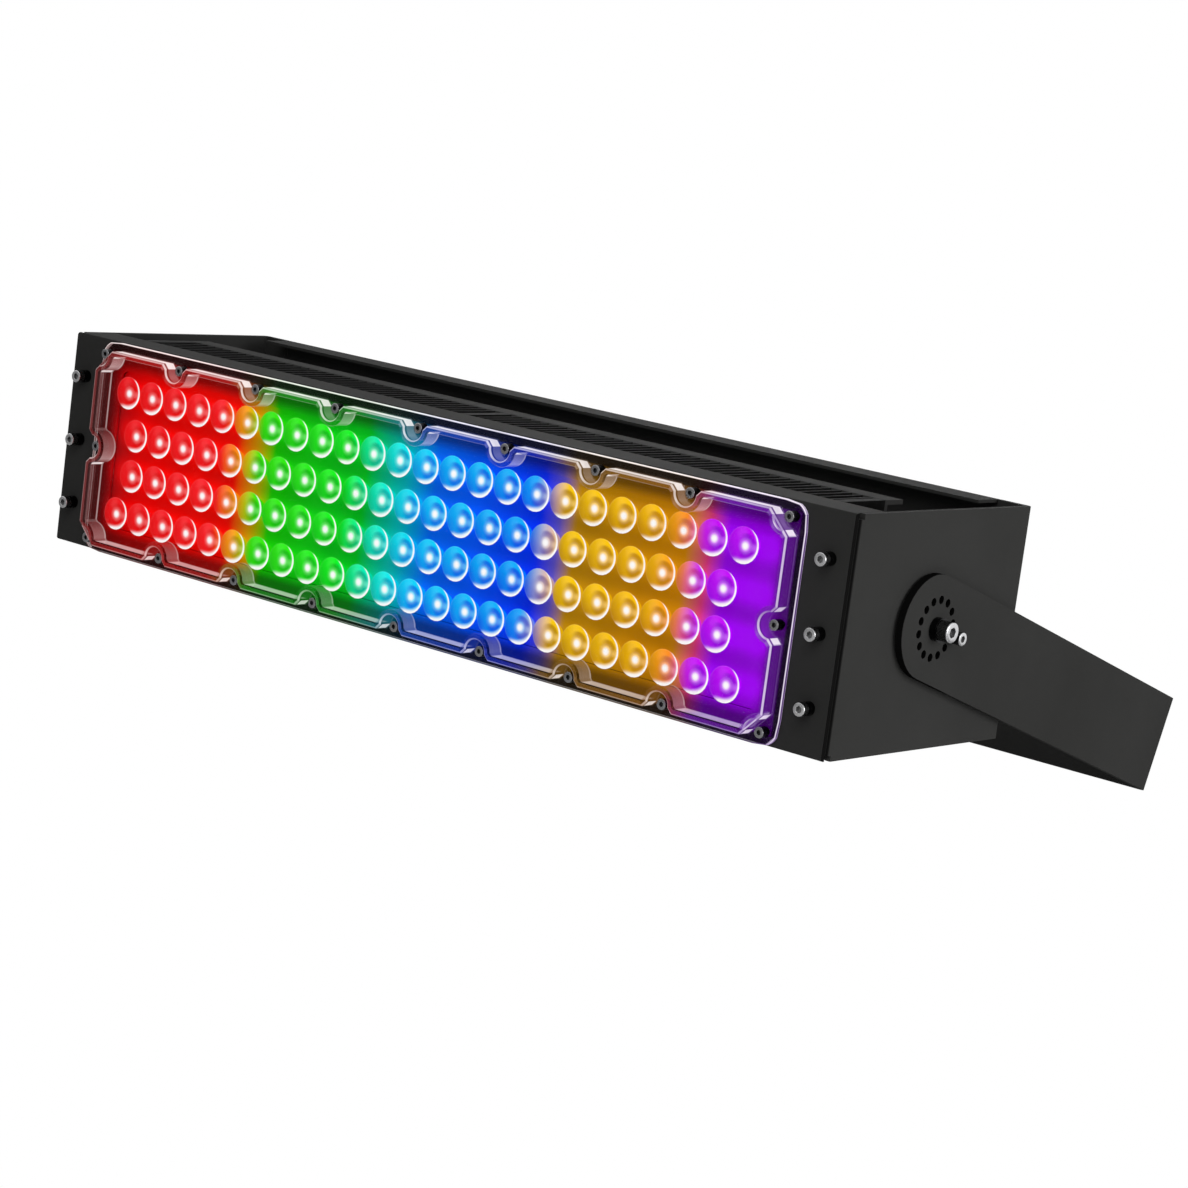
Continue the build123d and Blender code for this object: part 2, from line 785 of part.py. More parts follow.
def head_nodes():
    nodes = {
        "front_panel": front_panel(),
        "side_bracket_left": side_bracket(-1),
        "side_bracket_right": side_bracket(1),
        "rear_panel": rear_panel(),
        "heatsink": heatsink(),
        "driver_plate": driver_plate(),
        "light_board": light_board(),
        "board_screws": board_screws(),
        "lens_cover": lens_cover(),
        "cover_gasket": gasket(),
        "cover_screws": cover_screws(),
        "flange_bolts": flange_bolts(),
        "flange_sleeves": flange_sleeves(),
        "flange_nuts": flange_nuts(),
        "rear_screws": rear_screws(),
        "plate_screws": plate_screws(),
        "driver_screws": driver_screws(),
        "gland_body": gland_body(),
        "gland_cap": gland_cap(),
        "gland_nut": gland_nut(),
    }
    for name in driver_boxes():
        nodes[name] = driver(name)
    for zone, _ in zone_counts:
        nodes["leds_" + zone] = light_sources(zone)
    return nodes


def yoke_nodes():
    return {
        "yoke": yoke(),
        "pivot_bolts": pivot_bolts(),
        "pivot_collars": pivot_collars(),
        "pivot_nuts": pivot_nuts(),
        "friction_washers": friction_washers(),
        "lock_screws": lock_screws(),
        "lock_sleeves": lock_sleeves(),
        "lock_nuts": lock_nuts(),
    }


os.makedirs("parts", exist_ok=True)
for node, piece in head_nodes().items():
    export_step(head_place * piece, f"parts/{node}.step")
for node, piece in yoke_nodes().items():
    export_step(piece, f"parts/{node}.step")
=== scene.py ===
"""Colour LED floodlight: finishes, clear cover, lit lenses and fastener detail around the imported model."""
import json
import math

import bmesh
import bpy
import numpy as np
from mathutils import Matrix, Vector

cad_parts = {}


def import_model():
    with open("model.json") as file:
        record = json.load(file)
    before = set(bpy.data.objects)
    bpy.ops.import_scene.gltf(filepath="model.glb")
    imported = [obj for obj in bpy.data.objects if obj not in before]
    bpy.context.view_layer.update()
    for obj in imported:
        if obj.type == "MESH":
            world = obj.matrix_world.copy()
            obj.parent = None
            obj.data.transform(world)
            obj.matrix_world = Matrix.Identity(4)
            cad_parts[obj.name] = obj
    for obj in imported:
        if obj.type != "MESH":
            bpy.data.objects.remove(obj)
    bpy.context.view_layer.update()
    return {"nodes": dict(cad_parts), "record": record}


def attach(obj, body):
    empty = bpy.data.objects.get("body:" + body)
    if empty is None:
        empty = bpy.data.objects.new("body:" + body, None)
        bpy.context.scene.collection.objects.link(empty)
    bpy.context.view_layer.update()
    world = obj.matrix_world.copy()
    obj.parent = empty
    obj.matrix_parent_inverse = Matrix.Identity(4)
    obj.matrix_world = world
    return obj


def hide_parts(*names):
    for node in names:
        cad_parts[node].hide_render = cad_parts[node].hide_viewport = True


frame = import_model()
NODES = frame["nodes"]

# Sizes of the lamp in millimetres, in the head's own frame: X along it, Y to the rear, Z up

MM = 0.001
REST_TILT = math.radians(18.0)
REACH = 316.0
PIVOT_FROM_FRONT = 89.5
PIVOT_RISE = 3.0

COVER_HALF = (311.5, 74.75)
FLANGE_CORNER = 12.0
COVER_BACK = -1.0
FLANGE_FRONT = -3.5
PLATEAU_FRONT = -14.5
PLATEAU_INSET = 5.5
RIM_WALL = 3.5
SKIN = 2.0
SCREW_INSET = 9.0
NOTCH_RADIUS = 8.0
SPANS_LONG = 8
SPANS_SHORT = 2

LENS_PITCH = (23.75, 28.5)
LENS_ROWS = 4
LENS_COUNT = 24
LENS_RADIUS = 11.4
LENS_TIP_RADIUS = 5.5
LENS_ROOT = -12.4
LENS_TIP = -1.0
DOME_SETBACK = 1.3
DOME_RISE = 1.2

BOLT_LINE = 329.5
BOLT_PITCH = 45.4
BOLT_SEAT = -5.7
YOKE_SCREW_SEAT = 356.1
LOCK_DISTANCE = 18.0

# Cap screws: head radius, head height, socket width across flats, shank radius and shank length
COVER_SCREW = (3.5, 6.5, 3.0, 2.0, 11.0)
FLANGE_BOLT = (4.25, 5.0, 4.0, 2.5, 18.5)
PIVOT_BOLT = (6.5, 8.0, 6.0, 4.0, 23.8)
LOCK_SCREW = (4.25, 5.0, 4.0, 2.5, 21.2)

# Where the shading of the housing sets in: places along the lamp, a depth, and distances from the pivot
END_FOLD = (343.0, 343.4)
CORNER_DEPTH = (5.6, 4.4)
PLATE_FACE = (345.6, 345.2)
HUB_SHADE = (26.0, 23.0)
ARM_INNER = (346.2, 346.4)
ARM_OUTER = (351.5, 351.2)
ARM_TIP_SHADE = (52.0, 44.0)

# Where the lamp's spill ends at the cover's walls, and where its open field fades
SPILL_HIGH = (69.0, 67.5)
SPILL_SIDE = (306.0, 304.5)
SPILL_DEPTH = (4.5, 3.5)
FIELD_HIGH = (62.0, 54.0)
FIELD_SIDE = (303.0, 284.0)

DARK = (0.0, 0.0, 0.0, 1.0)
UNDER_GLOW = (0.01, 0.01, 0.01, 1.0)
# Near-black painted shade for the housing's folded front corners, the hubs under the yoke's arms and the
# arms' edges
PAINTED_SHADE = (0.001, 0.001, 0.001, 1.0)
CREASE = math.radians(32.0)
SECTORS = 24

PHOTO_SIDE = 1188
FOCAL_PIXELS = 3357.06
SENSOR = 36.0
CAMERA_PLACE = (1.452807, -2.034970, -0.214425)
CAMERA_TURN = (94.979033, -18.663553, 36.775273)
LAMP_SIDE = 1.8
FILL_LEVEL = 0.12
WHITE_LEVEL = 1.0


def in_row(points):
    """Head frame in millimetres to the row frame in metres: a turn by the rest tilt about the pivot."""
    p = np.asarray(points, float)
    y = p[..., 1] - PIVOT_FROM_FRONT
    z = p[..., 2] - PIVOT_RISE
    c, s = math.cos(REST_TILT), math.sin(REST_TILT)
    return MM * np.stack([p[..., 0], y * c - z * s - REACH, y * s + z * c], -1)


# Meshes

def band(rows, columns):
    """Quads between neighbouring rings of a grid whose rings have the same number of points."""
    i, j = np.meshgrid(np.arange(rows - 1), np.arange(columns), indexing="ij")
    k = (j + 1) % columns
    near = i * columns
    far = near + columns
    return np.stack([near + j, near + k, far + k, far + j], -1).reshape(-1, 4)


def capped(rows, columns):
    """The faces of a tube of rings, closed by a flat face at each end."""
    ring = np.arange(columns)[None, :]
    return [band(rows, columns), ring[:, ::-1], (rows - 1) * columns + ring]


def turned(rings):
    """Rings about +Z, each a radius or one radius per sector, at a height: (r cos a, r sin a, h)."""
    angle = 2 * np.pi * np.arange(SECTORS) / SECTORS
    circle = np.stack([np.cos(angle), np.sin(angle)], -1)
    flat = [np.broadcast_to(np.asarray(r, float)[..., None] * circle, (SECTORS, 2)) for r, _ in rings]
    rise = [np.full((SECTORS, 1), h) for _, h in rings]
    return np.concatenate([np.concatenate([f, h], 1) for f, h in zip(flat, rise)])


FORWARD = np.array([[1.0, 0.0, 0.0], [0.0, 0.0, -1.0], [0.0, 1.0, 0.0]])
RIGHTWARD = np.array([[0.0, 0.0, 1.0], [1.0, 0.0, 0.0], [0.0, 1.0, 0.0]])
LEFTWARD = np.array([[0.0, 0.0, -1.0], [-1.0, 0.0, 0.0], [0.0, 1.0, 0.0]])


def copies(points, faces, turn, places):
    """The same shape, turned, at every place: each copy's points follow the last one's."""
    places = np.asarray(places, float)
    count = len(places)
    moved = (points @ turn.T)[None] + places[:, None]
    shift = len(points) * np.arange(count)
    spread = [(f[None] + shift[:, None, None]).reshape(-1, f.shape[1]) for f in faces]
    return moved.reshape(-1, 3), spread


def linked(name, data):
    """A new object of this data in the scene."""
    made = bpy.data.objects.new(name, data)
    bpy.context.scene.collection.objects.link(made)
    return made


def piece(name, points, faces, finish, body, marks, replaced=()):
    """A mesh piece from points in the row frame and face arrays.

    The marks are point attributes of one number or three.
    """
    mesh = bpy.data.meshes.new(name)
    mesh.from_pydata(points.tolist(), [], [face for block in faces for face in block.tolist()])
    for key, values in marks.items():
        kind, field = ("FLOAT", "value") if values.ndim == 1 else ("FLOAT_VECTOR", "vector")
        layer = mesh.attributes.new(key, kind, "POINT")
        layer.data.foreach_set(field, np.ascontiguousarray(values, np.float32).ravel())
    work = bmesh.new()
    work.from_mesh(mesh)
    bmesh.ops.recalc_face_normals(work, faces=work.faces)
    work.to_mesh(mesh)
    work.free()
    mesh.shade_smooth()
    mesh.set_sharp_from_angle(angle=CREASE)
    mesh.materials.append(finish)
    made = linked(name, mesh)
    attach(made, body)
    if replaced:
        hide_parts(*replaced)


# Node trees

class Value:
    """A socket of a node tree. Arithmetic on it adds Math nodes to its tree."""

    def __init__(self, finish, socket):
        self.finish = finish
        self.socket = socket

    def _math(self, operation, *terms, clamp=False):
        return self.finish.node("ShaderNodeMath", {"operation": operation, "use_clamp": clamp}, *terms)

    def __add__(self, other):
        return self._math("ADD", self, other)

    __radd__ = __add__

    def __sub__(self, other):
        return self._math("SUBTRACT", self, other)

    def __rsub__(self, other):
        return self._math("SUBTRACT", other, self)

    def __mul__(self, other):
        return self._math("MULTIPLY", self, other)

    __rmul__ = __mul__

    def __truediv__(self, other):
        return self._math("DIVIDE", self, other)

    def __abs__(self):
        return self._math("ABSOLUTE", self)

    def clip(self):
        return self._math("ADD", self, 0.0, clamp=True)

    def cos(self):
        return self._math("COSINE", self)

    def root(self):
        return self._math("SQRT", self)

    def rise(self, start, end):
        """0 before start, 1 after end, and a soft slope between; start may be the larger."""
        if start > end:
            return 1 - self.rise(end, start)
        settings = {"interpolation_type": "SMOOTHSTEP"}
        return self.finish.node("ShaderNodeMapRange", settings, Value=self, From_Min=start, From_Max=end)


class Finish:
    """A material and its node tree."""

    def __init__(self, name):
        self.material = bpy.data.materials.new(name)
        self.material.use_nodes = True
        self.tree = self.material.node_tree
        self.shader = self.tree.nodes["Principled BSDF"]
        self.output = self.tree.nodes["Material Output"]

    def node(self, kind, settings=None, *values, out=0, **named):
        """Adds a node: settings first, then inputs by place or by name, each a number or a Value."""
        made = self.tree.nodes.new(kind)
        for key, value in (settings or {}).items():
            if key == "stops":
                self._stops(made.color_ramp, value)
            else:
                setattr(made, key, value)
        pairs = [(made.inputs[i], v) for i, v in enumerate(values)]
        pairs += [(made.inputs[k.replace("_", " ")], v) for k, v in named.items()]
        for socket, value in pairs:
            self.set(socket, value)
        return Value(self, made.outputs[out])

    @staticmethod
    def _stops(ramp, stops):
        """Gives a colour ramp its stops, each a place and a colour of three or four numbers."""
        while len(ramp.elements) < len(stops):
            ramp.elements.new(0.5)
        for element, (place, colour) in zip(ramp.elements, stops):
            element.position = place
            element.color = tuple(colour) + (1.0,) if len(colour) == 3 else colour

    def set(self, socket, value):
        """Links a Value to an input, or writes a number into it."""
        if isinstance(value, Value):
            self.tree.links.new(value.socket, socket)
        else:
            socket.default_value = value

    def surface(self, **inputs):
        """Sets the shader's inputs by name, with an underscore for each space."""
        for key, value in inputs.items():
            self.set(self.shader.inputs[key.replace("_", " ")], value)
        return self

    def place(self):
        """Object coordinates."""
        return self.node("ShaderNodeTexCoord", out=3)

    def noise(self, scale, detail=2.0):
        """Noise over the object coordinates."""
        return self.node("ShaderNodeTexNoise", None, Vector=self.place(), Scale=scale, Detail=detail)

    def ramp(self, value, stops):
        """The colour of a ramp at a value."""
        return self.node("ShaderNodeValToRGB", {"stops": stops}, value)

    def bump(self, height, strength, distance):
        return self.node("ShaderNodeBump", None, Height=height, Strength=strength, Distance=distance)

    def split(self, vector):
        """The three parts of a vector."""
        made = self.node("ShaderNodeSeparateXYZ", None, vector)
        return [Value(self, s) for s in made.socket.node.outputs]

    def mark(self, name, out):
        """A point attribute: output 1 is its vector, 2 its number."""
        return self.node("ShaderNodeAttribute", {"attribute_name": name}, out=out)

    def mix(self, factor, first, second):
        """Two colours mixed by a factor."""
        made = self.tree.nodes.new("ShaderNodeMix")
        made.data_type = "RGBA"
        for socket, value in ((made.inputs[0], factor), (made.inputs[6], first), (made.inputs[7], second)):
            self.set(socket, value)
        return Value(self, made.outputs[2])

    def along(self):
        """Place along the lamp, 0 at the cover's left end and 1 at its right end, then X, Y and Z."""
        x, y, z = self.split(self.place())
        half = COVER_HALF[0] * MM
        return (x + half) / (2 * half), x, y, z

    def height(self, y, z):
        """Height in the head's own frame at rest, in millimetres."""
        c, s = math.cos(REST_TILT), math.sin(REST_TILT)
        return (z * c - (y + REACH * MM) * s) / MM + PIVOT_RISE

    def depth(self, y, z):
        """Depth behind the face of the head in its own frame at rest, in millimetres."""
        c, s = math.cos(REST_TILT), math.sin(REST_TILT)
        return ((y + REACH * MM) * c + z * s) / MM + PIVOT_FROM_FRONT


def tone(red, green, blue):
    """A display colour of 0 to 255 as the linear colour that renders as it."""
    level = np.array([red, green, blue]) / 255.0
    linear = np.where(level <= 0.04045, level / 12.92, ((level + 0.055) / 1.055) ** 2.4)
    return tuple(linear.tolist()) + (1.0,)


def spot(x):
    """Place of an X in millimetres on the ramps along the cover."""
    return (x + COVER_HALF[0]) / (2 * COVER_HALF[0])


GLOW = [
    (spot(-300), tone(170, 0, 8)), (spot(-270), tone(250, 0, 0)), (spot(-172), tone(255, 6, 0)),
    (spot(-153), tone(205, 150, 0)), (spot(-136), tone(20, 205, 0)), (spot(-50), tone(0, 200, 30)),
    (spot(-14), tone(0, 180, 190)), (spot(12), tone(0, 105, 255)), (spot(104), tone(0, 45, 255)),
    (spot(119), tone(90, 80, 200)), (spot(132), tone(190, 135, 5)), (spot(222), tone(205, 130, 0)),
    (spot(238), tone(225, 60, 120)), (spot(252), tone(158, 0, 245)), (spot(300), tone(155, 0, 235)),
]
LENS_TONES = [
    (spot(-300), tone(235, 10, 20)), (spot(-176), tone(255, 30, 40)), (spot(-154), tone(255, 165, 0)),
    (spot(-138), tone(60, 235, 0)), (spot(-56), tone(0, 245, 30)), (spot(-12), tone(0, 240, 235)),
    (spot(10), tone(0, 215, 255)), (spot(108), tone(0, 170, 255)), (spot(124), tone(225, 190, 180)),
    (spot(134), tone(255, 205, 0)), (spot(206), tone(255, 195, 0)), (spot(230), tone(255, 140, 30)),
    (spot(244), tone(205, 0, 250)), (spot(300), tone(190, 0, 255)),
]


# Finishes

def powder_coat(name="powder_coat", lit=False, sheen=0.01):
    """Satin black powder coat: a fine orange-peel texture and slow changes in gloss.

    It has painted shade on the folded front corners of the housing, about the pivots under the yoke's arms
    and on the edges of the arms' ends. Lit, it also shows the lamp's spill as painted glow.
    """
    f = Finish(name)
    grain = f.noise(1400.0)
    cloud = f.noise(9.0, 3.0)
    colour = f.ramp(cloud, [(0.3, (0.033, 0.033, 0.032)), (0.7, (0.039, 0.039, 0.038))])
    _, x, y, z = f.along()
    side = abs(x) / MM
    out_y = y / MM + REACH
    out_z = z / MM
    from_pivot = (out_y * out_y + out_z * out_z).root()
    # Painted shade on the folded front corners, on a disc about each pivot under the yoke's arms and on the
    # edges of the arms' ends, mixed towards near-black
    corner = side.rise(*END_FOLD) * f.depth(y, z).rise(*CORNER_DEPTH)
    hub_shadow = side.rise(*END_FOLD) * side.rise(*PLATE_FACE) * from_pivot.rise(*HUB_SHADE)
    arm_edge_shadow = side.rise(*ARM_OUTER) * side.rise(*ARM_INNER) * from_pivot.rise(*ARM_TIP_SHADE)
    colour = f.mix((corner + hub_shadow + arm_edge_shadow).clip() * 0.9, colour, PAINTED_SHADE)
    f.surface(
        Base_Color=colour, Roughness=0.5 + 0.1 * cloud, Specular_IOR_Level=sheen,
        Normal=f.bump(grain, 0.12, 0.0004),
    )
    if lit:
        f.surface(Emission_Color=spill(f), Emission_Strength=1.0)
    return f.material


def spill(f):
    """The lamp's own light under its cover: full among the lenses and dim towards the cover's walls."""
    across, x, y, z = f.along()
    high = f.height(y, z)
    side = abs(x) / MM
    rows = 0.5 - 0.5 * (high * (2 * math.pi / LENS_PITCH[1])).cos()
    pocket = abs(high).rise(*SPILL_HIGH) * side.rise(*SPILL_SIDE) * f.depth(y, z).rise(*SPILL_DEPTH)
    open_field = abs(high).rise(*FIELD_HIGH) * side.rise(*FIELD_SIDE)
    cloud = f.noise(30.0)
    level = pocket * (0.22 + open_field * (0.28 + 0.46 * rows + 0.3 * cloud)).clip()
    return f.mix(level, DARK, f.ramp(across, GLOW))


def anodised():
    """Black anodised extrusion with fine drawing lines."""
    f = Finish("anodised_black")
    streak = f.noise(260.0)
    colour = f.ramp(streak, [(0.3, (0.003, 0.003, 0.003)), (0.7, (0.006, 0.006, 0.006))])
    f.surface(
        Base_Color=colour, Roughness=0.5, Specular_IOR_Level=0.014, Normal=f.bump(streak, 0.1, 0.0003),
    )
    return f.material


def bright_steel():
    """Bright stainless steel with slow changes in gloss."""
    f = Finish("bright_steel")
    fine = f.noise(900.0)
    f.surface(Base_Color=(0.55, 0.55, 0.56, 1.0), Metallic=1.0, Roughness=0.22 + 0.12 * fine)
    return f.material


def dark_steel():
    """Dark plated steel, glossy."""
    f = Finish("dark_steel")
    fine = f.noise(600.0)
    f.surface(Base_Color=(0.02, 0.02, 0.021, 1.0), Metallic=1.0, Roughness=0.2 + 0.1 * fine)
    return f.material


def screw_steel(name, face, side):
    """Screw with painted reflection: its face is painted bright and its sides dark; the point mark read here
    is 1 on the face.
    """
    f = Finish(name)
    fine = f.noise(900.0, 3.0)
    polish = (f.mark("polish", 2) + 0.25 * (fine - 0.5)).clip()
    f.surface(Base_Color=f.mix(polish, side, face), Metallic=1.0, Roughness=0.2 + 0.16 * fine)
    return f.material


def plain(name, colour, roughness, metallic=0.0):
    """Moulded or cast material with a fine tooth."""
    f = Finish(name)
    fine = f.noise(500.0)
    shade = f.ramp(fine, [(0.3, tuple(0.85 * c for c in colour)), (0.7, colour)])
    f.surface(Base_Color=shade, Roughness=roughness, Metallic=metallic, Normal=f.bump(fine, 0.1, 0.0002))
    return f.material


def lit_board():
    """White board under the lenses, washed by their light."""
    f = Finish("board_lit")
    f.surface(
        Base_Color=UNDER_GLOW, Roughness=0.5, Specular_IOR_Level=0.0, Emission_Color=spill(f),
        Emission_Strength=1.0,
    )
    return f.material


def lit(name, colour):
    """Light source under a lens: its phosphor glows a little unevenly."""
    f = Finish(name)
    phosphor = f.noise(700.0)
    shade = f.ramp(phosphor, [(0.3, tuple(0.75 * c for c in colour)), (0.7, colour)])
    f.surface(Base_Color=shade, Roughness=0.3, Emission_Color=shade, Emission_Strength=1.0)
    return f.material


def lens_glass():
    """Lit lens: body painted deeper at the lower left, white centre in a dark ring, and white crescents of
    painted reflection below and at the right.

    The mark 'disc' holds the place on the disc, -1 to 1 across it and more on the cone behind it.
    """
    f = Finish("lens_glass")
    across, _, _, _ = f.along()
    u, v, _ = f.split(f.mark("disc", 1))
    wander = f.noise(70.0) - 0.5
    r = (u * u + v * v).root()
    inside = r.rise(1.04, 1.0)
    body = f.ramp(across, LENS_TONES)
    deep = f.mix(0.25, f.ramp(across, GLOW), DARK)

    def ball(place_u, place_v):
        """Distance from a place on the disc."""
        return ((u - place_u) * (u - place_u) + (v - place_v) * (v - place_v)).root()

    # The saturated body, painted deeper towards the lower left, with its dark ring, open at the right
    centre = ball(0.2, 0.0)
    bridge = abs(v + 0.02).rise(0.3, 0.02) * u.rise(0.4, 0.8)
    moat = centre.rise(0.27, 0.38) * centre.rise(0.74, 0.58) * (u + 0.3 * wander).rise(-0.35, 0.25)
    shade = f.mix((0.72 + 0.45 * u + 0.35 * v + 0.4 * wander).clip(), deep, body)
    shade = f.mix(0.75 * moat * (1 - 0.5 * bridge), shade, deep)

    # The white lights: painted reflections as crescents below and at the right, a faint painted highlight at
    # the top, a painted glint along the rim, and the bright centre with its halo
    low = ball(-0.02, 0.3 + 0.15 * wander).rise(0.93, 1.2) * (0.45 * u - 0.88 * v).rise(0.3, 0.75)
    right = ball(-0.12, 0.0).rise(0.97, 1.07) * u.rise(0.25, 0.65)
    high = ball(-0.12, 0.62).rise(0.5, 0.1) * 0.06
    edge = r.rise(0.93, 0.98) * (0.1 + 0.3 * (u - 0.3 * v).rise(-0.2, 0.6))
    core = centre.rise(0.34, 0.06)
    halo = centre.rise(0.52, 0.25) * 0.35
    strong = (0.95 * low + 0.95 * right + core).clip()
    white = (inside * (strong + high + edge + halo + 0.3 * bridge)).clip()
    colour = f.mix(white, shade, f.mix(0.35 + 0.65 * strong, body, (1.0, 0.98, 0.98, 1.0)))
    colour = f.mix((1 - inside) * 0.6, colour, deep)
    f.surface(
        Base_Color=UNDER_GLOW, Roughness=0.15, Specular_IOR_Level=0.05, Emission_Color=colour,
        Emission_Strength=1.0,
    )
    return f.material


def clear_cover():
    """Clear plastic with painted light: highlights on its edges and walls, and the lamp's tinted glow seen
    in it. The mark 'light' holds edge light, fill and opacity.
    """
    f = Finish("clear_cover")
    across, _, _, _ = f.along()
    edge, fill, opacity = f.split(f.mark("light", 1))
    wave = f.noise(60.0)
    bright = (edge * (0.7 + 0.6 * wave)).clip()
    tint = f.ramp(across, GLOW)
    pale = f.mix((0.15 + 0.75 * edge).clip(), tint, (1.0, 0.96, 0.95, 1.0))
    glow = f.mix(bright, f.mix(fill, DARK, tint), pale)
    f.surface(
        Base_Color=UNDER_GLOW, Roughness=0.08, Specular_IOR_Level=0.3, Alpha=opacity,
        Emission_Color=glow, Emission_Strength=1.0,
    )
    return f.material


# Each screw finish has a face colour painted bright and a side colour painted dark, as reflections
COVER_SCREW_STEEL = screw_steel("cover_screw_steel", (0.32, 0.32, 0.33, 1.0), (0.012, 0.012, 0.013, 1.0))
BOLT_STEEL = screw_steel("bolt_steel", (0.62, 0.62, 0.63, 1.0), (0.12, 0.12, 0.12, 1.0))
FINISHES = {
    "powder_black": powder_coat(),
    "anodised_black": anodised(),
    "steel": bright_steel(),
    "dark_steel": dark_steel(),
    "black_nylon": plain("black_nylon", (0.02, 0.02, 0.02), 0.5),
    "black_rubber": plain("black_rubber", (0.012, 0.012, 0.012), 0.7),
    "board_white": lit_board(),
    "driver_case": plain("driver_case", (0.25, 0.26, 0.28), 0.4, 0.6),
    "clear_polycarbonate": clear_cover(),
    "led_red": lit("led_red", (1.0, 0.0, 0.005)),
    "led_orange": lit("led_orange", (1.0, 0.25, 0.0)),
    "led_green": lit("led_green", (0.0, 0.9, 0.02)),
    "led_cyan": lit("led_cyan", (0.0, 0.7, 0.8)),
    "led_blue": lit("led_blue", (0.0, 0.15, 1.0)),
    "led_amber": lit("led_amber", (1.0, 0.5, 0.0)),
    "led_violet": lit("led_violet", (0.4, 0.0, 1.0)),
}
for part in frame["record"]["subparts"]:
    mesh = NODES[part["node"]].data
    mesh.materials.clear()
    mesh.materials.append(FINISHES[part["material_slot"]])
# The front panel's coat carries the lamp's spill as painted glow; the yoke's coat has no gloss
NODES["front_panel"].data.materials[0] = powder_coat("powder_coat_lit", lit=True)
NODES["yoke"].data.materials[0] = powder_coat("powder_coat_yoke", sheen=0.0)
# The board's screws and the cover's gasket take the board's painted glow
NODES["board_screws"].data.materials[0] = FINISHES["board_white"]
NODES["cover_gasket"].data.materials[0] = FINISHES["board_white"]


# Clear cover

def flared_notch(inset):
    """Profile along an edge of the cut about a screw: an arc about the screw between two 45-degree flares.

    Its points are (along the edge, outwards) from the screw's centre; the third number is 1 on the arc.
    """
    radius = NOTCH_RADIUS + inset
    span = NOTCH_RADIUS + inset * 2**0.5
    edge = SCREW_INSET - PLATEAU_INSET - inset
    join = -math.pi / 4 + math.acos(span / (2**0.5 * radius))
    angle = np.linspace(-np.pi / 2, join, 13)
    arc = np.stack([radius * np.cos(angle), radius * np.sin(angle), 1 + 0 * angle], 1)
    step = np.linspace(0, 1, 6)[1:, None]
    flare = arc[-1] * [1, 1, 0] * (1 - step) + np.array([[span + edge, edge, 0.0]]) * step
    near_arc = flare[:1] - (flare[1] - flare[0]) * 0.8
    beyond = flare[-1] + np.array([[0.4, 0.0, 0.0], [1.2, 0.0, 0.0]])
    half = np.concatenate([arc, near_arc, flare, beyond])
    return np.concatenate([half[:0:-1] * [-1, 1, 1], half])


def edge_run(length_half, spans, inset):
    """One edge from the middle of its first screw's cut to the middle of its last one's."""
    notch = flared_notch(inset)
    middle = len(notch) // 2
    centres = np.linspace(-length_half, length_half, spans + 1)
    runs = [notch[middle:] + [centres[0], 0, 0]]
    runs += [notch + [c, 0, 0] for c in centres[1:-1]]
    runs.append(notch[: middle + 1] + [centres[-1], 0, 0])
    return np.concatenate(runs)


def plateau_ring(inset):
    """Outline of the raised part, anticlockwise seen from the front, as (x, z, arc mark)."""
    row_x = COVER_HALF[0] - SCREW_INSET
    row_z = COVER_HALF[1] - SCREW_INSET
    long_edge = edge_run(row_x, SPANS_LONG, inset)
    short_edge = edge_run(row_z, SPANS_SHORT, inset)
    bottom = np.stack([long_edge[:, 0], -row_z - long_edge[:, 1], long_edge[:, 2]], 1)
    right = np.stack([row_x + short_edge[:, 1], short_edge[:, 0], short_edge[:, 2]], 1)
    top = np.stack([-long_edge[:, 0], row_z + long_edge[:, 1], long_edge[:, 2]], 1)
    left = np.stack([-row_x - short_edge[:, 1], -short_edge[:, 0], short_edge[:, 2]], 1)
    return np.concatenate([bottom, right, top, left])


def flange_ring(inset):
    """Outline of the flange: one point for each of the raised part's, straight outwards from it."""
    partner = plateau_ring(0.0)
    inner = np.abs(partner[:, :2])
    half = np.array(COVER_HALF) - inset
    core = half - (FLANGE_CORNER - inset)
    reach = np.array(COVER_HALF) - SCREW_INSET - NOTCH_RADIUS - 0.01
    near_side = inner[:, 0] > reach[0]
    near_edge = inner[:, 1] > reach[1]
    angle = np.arctan2(inner[:, 1] - core[1] + FLANGE_CORNER, inner[:, 0] - core[0] + FLANGE_CORNER)
    corner = core + (FLANGE_CORNER - inset) * np.stack([np.cos(angle), np.sin(angle)], 1)
    edge = np.stack([inner[:, 0], np.full(len(inner), half[1])], 1)
    side = np.stack([np.full(len(inner), half[0]), inner[:, 1]], 1)
    out = np.where((near_side & near_edge)[:, None], corner, np.where(near_edge[:, None], edge, side))
    return np.concatenate([np.sign(partner[:, :2]) * out, 0 * partner[:, 2:]], 1)


